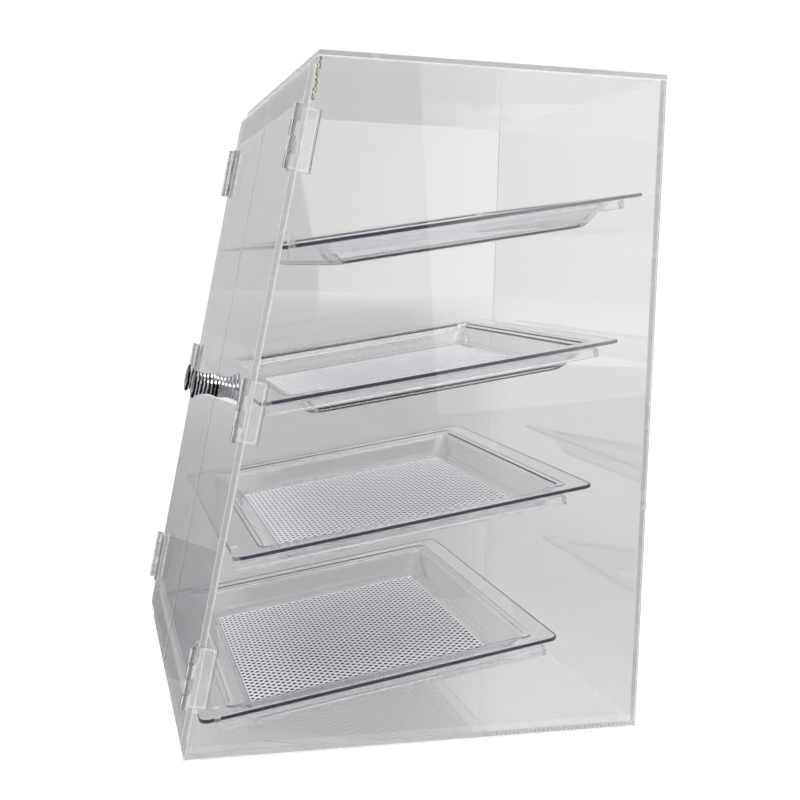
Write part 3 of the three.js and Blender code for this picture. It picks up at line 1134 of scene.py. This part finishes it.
@dataclass
class Knobs:
    """Turned metal knobs with a waisted stem, and the screws behind them."""

    finishes: Finishes
    turn_steps: int = 72
    curve_steps: int = 10
    height: float = 28 * MM
    head_radius: float = 14 * MM
    head_thickness: float = 5 * MM
    head_crown: float = 1.2 * MM
    waist_radius: float = 6.6 * MM
    flange_radius: float = 9 * MM
    flange_thickness: float = 1.6 * MM
    same_point: float = 0.005 * MM
    screw_edge_width: float = 0.15 * MM
    screw_edge_angle: float = 50

    def profile(self) -> list[Vector]:
        """The knob's outline: distance from its axis in X and height in Z.

        Returns:
            The points from the seat to the middle of the head.
        """
        under_head = self.height - self.head_thickness
        lip = (self.head_thickness - self.head_crown) / 2
        reach = self.head_radius - lip
        points = [(0, 0), (self.flange_radius, 0), (self.flange_radius, self.flange_thickness)]
        shares = [step / self.curve_steps for step in range(self.curve_steps + 1)]
        for share in shares:
            low = (1 - share) ** 3 * (self.flange_radius - self.waist_radius)
            high = share**3 * (reach - self.waist_radius)
            rise = self.flange_thickness + share * (under_head - self.flange_thickness)
            points.append((self.waist_radius + low + high, rise))
        for share in shares:
            angle = math.pi * (share - 0.5)
            rise = under_head + lip * (1 + math.sin(angle))
            points.append((reach + lip * math.cos(angle), rise))
        for share in shares[1:]:
            fall = self.head_crown * (1 - share) ** 2
            points.append((reach * (1 - share), self.height - fall))
        return [Vector((radius, 0, rise)) for radius, rise in points]

    def turned(self) -> bmesh.types.BMesh:
        """Turns the outline about Z.

        Returns:
            The knob, seated at the origin.
        """
        mesh = bmesh.new()
        points = [mesh.verts.new(point) for point in self.profile()]
        edges = [mesh.edges.new(pair) for pair in zip(points, points[1:])]
        bmesh.ops.spin(
            mesh,
            geom=points + edges,
            cent=(0, 0, 0),
            axis=(0, 0, 1),
            angle=math.tau,
            steps=self.turn_steps,
            use_merge=True,
        )
        bmesh.ops.remove_doubles(mesh, verts=mesh.verts, dist=self.same_point)
        bmesh.ops.recalc_face_normals(mesh, faces=mesh.faces)
        return mesh

    def build(self, side: str) -> None:
        """Makes one knob and its screw.

        Args:
            side: left or right.
        """
        knob, screw, body = f"{side}_door_knob", f"{side}_knob_screw", f"{side}_door"
        up_slope = joint_axis("right_door_swing")
        outward = door_normal()
        seat = (sum(extent(knob, ACROSS)) / 2) * ACROSS
        seat += (sum(extent(knob, up_slope)) / 2) * up_slope
        seat += extent(knob, outward)[0] * outward
        mesh = self.turned()
        mesh.transform(turned_to(ACROSS, up_slope, outward, seat))
        chrome, zinc = (self.finishes.chrome,), (self.finishes.zinc,)
        finish_piece(mesh, f"{knob}_turned", chrome, body, [knob], opaque=True)
        mesh = node_copy(screw)
        soften(mesh, self.screw_edge_width, self.screw_edge_angle)
        finish_piece(mesh, f"{screw}_zinc", zinc, body, [screw], opaque=True)


class TrayFace(IntEnum):
    """Where each finish stands among a tray's materials."""

    MOULDED = 0
    RIM_EDGE = 1
    WELL = 2


@dataclass
class Trays:
    """Tinted moulded trays with a dark rim edge and a diamond mesh floor."""

    finishes: Finishes
    edge_reach: float = 2.1 * MM
    flat_share: float = 0.98
    well_depth: float = 22 * MM
    well_share: float = 0.3
    mesh_rise: float = 0.6 * MM
    side_inset: float = 70 * MM
    end_inset: float = 52.5 * MM
    mark_across: float = 4.5 * MM
    mark_along: float = 9.6 * MM
    strand_width: float = 1.9 * MM
    strand_height: float = 0.5 * MM
    film: float = 0.05 * MM

    def build(self, level: str) -> None:
        """Makes one tray and its mesh floor.

        Args:
            level: bottom, lower, upper or top.
        """
        node, body = f"{level}_tray", f"{level}_tray_body"
        along = joint_axis(f"{level}_tray_slide")
        up = ACROSS.cross(along)
        left, right = extent(node, ACROSS)
        front, rear = extent(node, along)
        rim = extent(node, up)[1]
        mesh = node_copy(node)
        # Faces low in the well take a darker copy of the tray plastic: painted shade
        for face in mesh.faces:
            middle = face.calc_center_median()
            reach = middle.dot(along)
            to_edge = min(middle.x - left, right - middle.x, reach - front, rear - reach)
            if to_edge < self.edge_reach and abs(face.normal.dot(up)) < self.flat_share:
                face.material_index = TrayFace.RIM_EDGE
            elif middle.dot(up) < rim - self.well_depth * self.well_share:
                face.material_index = TrayFace.WELL
        finishes = self.finishes
        materials = (finishes.tray, finishes.tray_edge, finishes.shaded_tray_well)
        finish_piece(mesh, f"{node}_moulding", materials, body, [node])
        floor = rim - self.well_depth + self.mesh_rise + self.film
        placed = turned_to(ACROSS, along, up, front * along + floor * up)
        size = (right - left, rear - front)
        # The pockets are painted shade in the gaps between the strands
        for name, raised, finish in (
            ("strands", True, finishes.strand),
            ("pockets", False, finishes.shaded_pocket),
        ):
            lattice = self.lattice(size, raised)
            lattice.transform(placed)
            finish_piece(
                lattice, f"{level}_tray_mesh_{name}", (finish,), body, opaque=raised
            )

    def diamonds(self, half_width: float, half_length: float) -> bmesh.types.BMesh:
        """A flat sheet of diamonds, cut to a rectangle about the origin.

        Args:
            half_width: how far the rectangle reaches in X.
            half_length: how far it reaches in Y.

        Returns:
            The sheet, with a face to each diamond.
        """
        cells = 2 * math.ceil(
            max(half_width / self.mark_across, half_length / (self.mark_along / 2))
        )
        mesh = bmesh.new()
        bmesh.ops.create_grid(mesh, x_segments=cells, y_segments=cells, size=cells / 2)
        turn = Matrix.Rotation(math.radians(45), 4, "Z")
        # A turned cell is the square root of two wide, and becomes two marks across, one along
        stretch = Matrix.Diagonal(
            (math.sqrt(2) * self.mark_across, self.mark_along / math.sqrt(2), 1, 1)
        )
        mesh.transform(stretch @ turn)
        for direction, reach in ((ACROSS, half_width), (REARWARD, half_length)):
            for outward in (-direction, direction):
                bmesh.ops.bisect_plane(
                    mesh,
                    geom=mesh.verts[:] + mesh.edges[:] + mesh.faces[:],
                    plane_co=outward * reach,
                    plane_no=outward,
                    clear_outer=True,
                )
        return mesh

    def lattice(self, size: tuple[float, float], strands: bool) -> bmesh.types.BMesh:
        """The mesh floor's strands, or the pockets between them.

        Args:
            size: the tray's width and length.
            strands: True for the strands.

        Returns:
            The lattice, with the tray's front edge at Y zero.
        """
        width, length = size
        mesh = self.diamonds(width / 2 - self.side_inset, length / 2 - self.end_inset)
        pockets = mesh.faces[:]
        rings = inset(mesh, pockets, self.strand_width / 2)
        bmesh.ops.delete(mesh, geom=pockets if strands else rings, context="FACES_ONLY")
        loose = [corner for corner in mesh.verts if not corner.link_faces]
        bmesh.ops.delete(mesh, geom=loose, context="VERTS")
        if strands:
            raised = bmesh.ops.extrude_face_region(mesh, geom=mesh.faces[:])["geom"]
            corners = [part for part in raised if isinstance(part, bmesh.types.BMVert)]
            bmesh.ops.translate(mesh, verts=corners, vec=(0, 0, self.strand_height))
            bmesh.ops.recalc_face_normals(mesh, faces=mesh.faces)
        mesh.transform(Matrix.Translation((0, length / 2, 0)))
        return mesh


def stage_piece(
    mesh: bmesh.types.BMesh, name: str, material: bpy.types.Material, hidden_from: Iterable[str]
) -> None:
    """Turns a mesh into a named object of the studio.

    Args:
        mesh: the finished mesh, which is freed.
        name: its name.
        material: its material.
        hidden_from: the kinds of ray that pass it by.
    """
    data = bpy.data.meshes.new(name)
    mesh.to_mesh(data)
    mesh.free()
    data.materials.append(material)
    holder = bpy.data.objects.new(name, data)
    for ray in hidden_from:
        setattr(holder, f"visible_{ray}", False)
    link(holder)


def disc(radius: float, drop: float) -> bmesh.types.BMesh:
    """A round sheet that lies below the case.

    Args:
        radius: how far it reaches.
        drop: how far down it lies.

    Returns:
        The sheet.
    """
    mesh = bmesh.new()
    bmesh.ops.create_circle(mesh, cap_ends=True, segments=96, radius=radius)
    bmesh.ops.translate(mesh, verts=mesh.verts, vec=(0, 0, -drop))
    return mesh


@dataclass
class Camera:
    """The camera at the photograph's place. Its angles are in degrees."""

    place: Vector = Vector((1.2339, -0.2989, 0.4290))
    azimuth: float = 75.006
    elevation: float = 6.214
    roll: float = 1.513
    lens: float = 54.04
    sensor: float = 36
    nearest: float = 0.01
    farthest: float = 100

    def build(self) -> None:
        """Sets the camera."""
        azimuth, roll = math.radians(self.azimuth), math.radians(self.roll)
        elevation = math.radians(self.elevation)
        level = math.cos(elevation)
        back = Vector(
            (math.sin(azimuth) * level, -math.cos(azimuth) * level, math.sin(elevation))
        )
        level_right = Vector((math.cos(azimuth), math.sin(azimuth), 0))
        level_up = back.cross(level_right)
        right = math.cos(roll) * level_right + math.sin(roll) * level_up
        up = math.cos(roll) * level_up - math.sin(roll) * level_right
        data = bpy.data.cameras.new("camera")
        data.lens = self.lens
        data.sensor_width = self.sensor
        data.clip_start, data.clip_end = self.nearest, self.farthest
        camera = bpy.data.objects.new("camera", data)
        camera.matrix_world = turned_to(right, up, back, self.place)
        link(camera)
        bpy.context.scene.camera = camera


@dataclass
class Backdrop:
    """White room round the case, with a shaded end that shows only through the clear sheets.

    Every span is read on a direction's part along Y, X or Z, from -1 to 1.
    """

    seen_level: float = 1.1
    shade: float = 0.826
    shade_edge: float = 0.1905
    shade_softness: float = 0.001
    shade_bend: float = 0.22
    bend_span: Span = (0, 0.5)
    backlight_span: Span = (0.02, 0.36)
    backlight: Span = (0.82, 1.12)
    room_span: Span = (-0.3, 0.2)
    room: Span = (0.22, 1.0)
    side_span: Span = (-0.2, 0.8)
    side_share: Span = (1.0, 0.2)

    def build(self) -> None:
        """Lights the scene from the room, which darkens towards the doors and the camera."""
        world = bpy.data.worlds.new("studio")
        bpy.context.scene.world = world
        world.use_nodes = True
        graph = Graph(world.node_tree)
        direction = graph.node("ShaderNodeTexCoord", output="Generated")
        rearward, sideward, upward = (
            graph.reach(direction, axis.to_tuple()) for axis in (REARWARD, ACROSS, UPWARD)
        )
        rays = graph.add("ShaderNodeLightPath")
        seen = Wire(graph, rays.outputs["Is Camera Ray"])
        through = Wire(graph, rays.outputs["Is Transmission Ray"])
        bend = graph.band(upward, self.bend_span, self.bend_span) * self.shade_bend
        past_edge = rearward - (self.shade_edge - bend)
        edge_span = (-self.shade_softness, self.shade_softness)
        shade = graph.band(past_edge, edge_span, (self.shade, 1))
        backlight = graph.band(rearward, self.backlight_span, self.backlight) * shade
        room = graph.band(rearward, self.room_span, self.room)
        room = room * graph.band(sideward, self.side_span, self.side_share)
        unseen = through * backlight + (1 - through) * room
        level = seen * self.seen_level + (1 - seen) * unseen
        backdrop = graph.node(
            "ShaderNodeBackground", inputs={"Color": (1, 1, 1), "Strength": level}
        )
        graph.add("ShaderNodeOutputWorld", inputs={"Surface": backdrop})


@dataclass
class PaleFloor:
    """The floor under the case."""

    radius: float = 4.8
    drop: float = 0.2 * MM
    colour: Colour = (0.93, 0.93, 0.93)
    roughness: float = 0.6
    refraction: float = 1.3
    glow: float = 0.1

    def build(self) -> None:
        """Lays the floor."""
        material, graph = new_material("pale_floor")
        graph.surface(
            Base_Color=self.colour,
            Roughness=self.roughness,
            IOR=self.refraction,
            Emission_Color=(1.0, 1.0, 1.0),
            Emission_Strength=self.glow,
        )
        stage_piece(disc(self.radius, self.drop), "floor", material, ())


@dataclass
class DimFloor:
    """A floor that shows only through the clear sheets, and fades into the backdrop.

    Its brightness changes with the slant, which is how far a place lies to the rear of the
    camera for each unit that it lies ahead, towards low X. Other spans are on the way ahead,
    in millimetres.
    """

    name: str
    radius: float
    drop: float
    far_left: float
    left: float
    middle: float
    right: float
    camera: Vector
    shade: float
    far_left_slants: Span = (0.05, 0.13)
    middle_slants: Span = (0.27, 0.33)
    right_slants: Span = (0.33, 0.37)
    near_span: Span = (1100, 1500)
    near_gain: float = 0.06
    fade_span: Span = (8000, 20000)
    shade_slants: Span = (0.193, 0.195)

    def build(self) -> None:
        """Lays the floor."""
        material, graph = new_material(self.name)
        place = graph.place()
        rearward = graph.along(place, "Y") - self.camera.y / MM
        distance = self.camera.x / MM - graph.along(place, "X")
        slant = rearward / distance
        grey = graph.band(slant, self.far_left_slants, (self.far_left - self.left, 0))
        grey += graph.band(slant, self.middle_slants, (self.left, self.middle))
        grey += graph.band(slant, self.right_slants, (0, self.right - self.middle))
        grey += graph.band(distance, self.near_span, (self.near_gain, 0))
        backdrop = graph.band(slant, self.shade_slants, (self.shade, 1))
        faded = graph.band(distance, self.fade_span, (0, 1))
        graph.glow(grey + (backdrop - grey) * faded)
        hidden_from = ("camera", "diffuse", "glossy", "shadow")
        stage_piece(disc(self.radius, self.drop), self.name, material, hidden_from)


@dataclass
class Softbox:
    """A rectangular light that shows only in reflections."""

    name: str
    place: Vector
    target: Vector
    size: Span
    radiance: float
    lean: float = 0

    def build(self) -> None:
        """Hangs the light, turned in its own plane by its lean in degrees."""
        width, height = self.size
        light = bpy.data.lights.new(self.name, "AREA")
        light.shape = "RECTANGLE"
        light.size, light.size_y = width, height
        light.energy = self.radiance * math.pi * width * height
        holder = bpy.data.objects.new(self.name, light)
        aim = (self.target - self.place).to_track_quat("-Z", "Y").to_matrix().to_4x4()
        lean = Matrix.Rotation(math.radians(self.lean), 4, "Z")
        holder.matrix_world = Matrix.Translation(self.place) @ aim @ lean
        holder.visible_camera = holder.visible_transmission = False
        link(holder)


@dataclass
class Card:
    """A dark card that shows only in reflections, as a photographer's flag does.

    Its brightness goes from the grey at its high X end to its far grey, where it has one.
    """

    name: str
    place: Vector
    size: Span
    grey: float
    far_grey: float | None = None
    facing: Vector = UPWARD

    def build(self) -> None:
        """Sets the card up."""
        mesh = bmesh.new()
        bmesh.ops.create_grid(mesh, x_segments=1, y_segments=1, size=0.5)
        mesh.transform(Matrix.Diagonal((*self.size, 1, 1)))
        mesh.transform(self.facing.to_track_quat("Z", "Y").to_matrix().to_4x4())
        mesh.transform(Matrix.Translation(self.place))
        material, graph = new_material(self.name)
        middle, reach = self.place.x / MM, self.size[0] / 2 / MM
        far_grey = self.grey if self.far_grey is None else self.far_grey
        across = graph.along(graph.place(), "X")
        graph.glow(graph.band(across, (middle - reach, middle + reach), (far_grey, self.grey)))
        stage_piece(
            mesh, self.name, material, ("camera", "diffuse", "transmission", "shadow")
        )


@dataclass
class Studio:
    """Camera, floors, backdrop and lights."""

    aim: Vector = Vector((0, 0, 0.3))
    fill_power: float = 1.85
    fill_spread: float = 60
    flags: int = 3
    first_flag: Vector = Vector((0.5, -1.3, 0.45))
    next_flag: Vector = Vector((0.55, -0.1, 0))
    bounces: int = 24

    def softboxes(self) -> list[Softbox]:
        """Returns the lights that shine on the sheets."""
        side = Vector((2.62, 1.3, 0.7))
        overhead = Softbox(
            "overhead_box",
            place=Vector((0.3, -0.4, 2.6)),
            target=self.aim,
            size=(1.0, 0.8),
            radiance=6,
        )
        beside = Softbox(
            "side_box",
            place=side,
            target=Vector((0, side.y, side.z)),
            size=(1.25, 1.3),
            radiance=1.3,
            lean=5,
        )
        return [overhead, beside]

    def cards(self) -> list[Card]:
        """Returns the cards that darken reflections in the sheets, the trays and the knobs."""
        flags = [
            Card(
                f"upright_card_{step}",
                place=self.first_flag + step * self.next_flag,
                size=(0.22, 1.2),
                grey=0.01,
                facing=REARWARD,
            )
            for step in range(self.flags)
        ]
        return [
            Card(
                "floor_card",
                place=Vector((-2.2, -1.0, 0.002)),
                size=(4.4, 1.7),
                grey=0.12,
                far_grey=0.4,
            ),
            Card("near_card", place=Vector((2.65, 0.4, 0.002)), size=(4.8, 6.0), grey=0.12),
            *flags,
            Card("apron_card", place=Vector((0, -0.234, 0.001)), size=(1.2, 0.04), grey=0.2),
            Card("knob_card", place=Vector((-0.1, -0.6, 0.003)), size=(1.3, 0.7), grey=0.01),
        ]

    def make_fill(self) -> None:
        """Adds a wide soft light from straight above."""
        fill = bpy.data.lights.new("fill", "SUN")
        fill.energy, fill.angle = self.fill_power, math.radians(self.fill_spread)
        link(bpy.data.objects.new("fill", fill))

    def build(self) -> None:
        """Makes the whole studio."""
        camera, backdrop = Camera(), Backdrop()
        near = DimFloor(
            "near_dim_floor",
            radius=4.5,
            drop=0.1 * MM,
            far_left=0.86,
            left=0.635,
            middle=0.70,
            right=0.88,
            camera=camera.place,
            shade=backdrop.shade,
        )
        far = DimFloor(
            "far_dim_floor",
            radius=20,
            drop=0.15 * MM,
            far_left=0.84,
            left=0.66,
            middle=0.9,
            right=1.08,
            camera=camera.place,
            shade=backdrop.shade,
        )
        for part in (camera, PaleFloor(), near, far, backdrop, *self.softboxes()):
            part.build()
        self.make_fill()
        for card in self.cards():
            card.build()
        scene = bpy.context.scene
        scene.view_settings.view_transform = "Standard"
        scene.cycles.max_bounces = scene.cycles.transmission_bounces = self.bounces
        scene.cycles.caustics_refractive = scene.cycles.caustics_reflective = False


def main() -> None:
    """Builds the bin and its studio."""
    logging.basicConfig(level=logging.INFO, format="%(name)s %(message)s")
    Studio().build()
    finishes = make_finishes()
    sheets, hinges, knobs = SheetPanels(finishes), Hinges(finishes), Knobs(finishes)
    runners, trays = Runners(finishes), Trays(finishes)
    for node in CASE_SHEETS:
        sheets.build(node, CASE)
    for side in SIDES:
        sheets.build(f"{side}_door_panel", f"{side}_door")
        knobs.build(side)
        for place in HINGE_PLACES:
            hinges.build(side, place)
        for level in LEVELS:
            runners.build(f"{level}_{side}_runner")
    for level in LEVELS:
        trays.build(level)


if __name__ == "__main__":
    main()
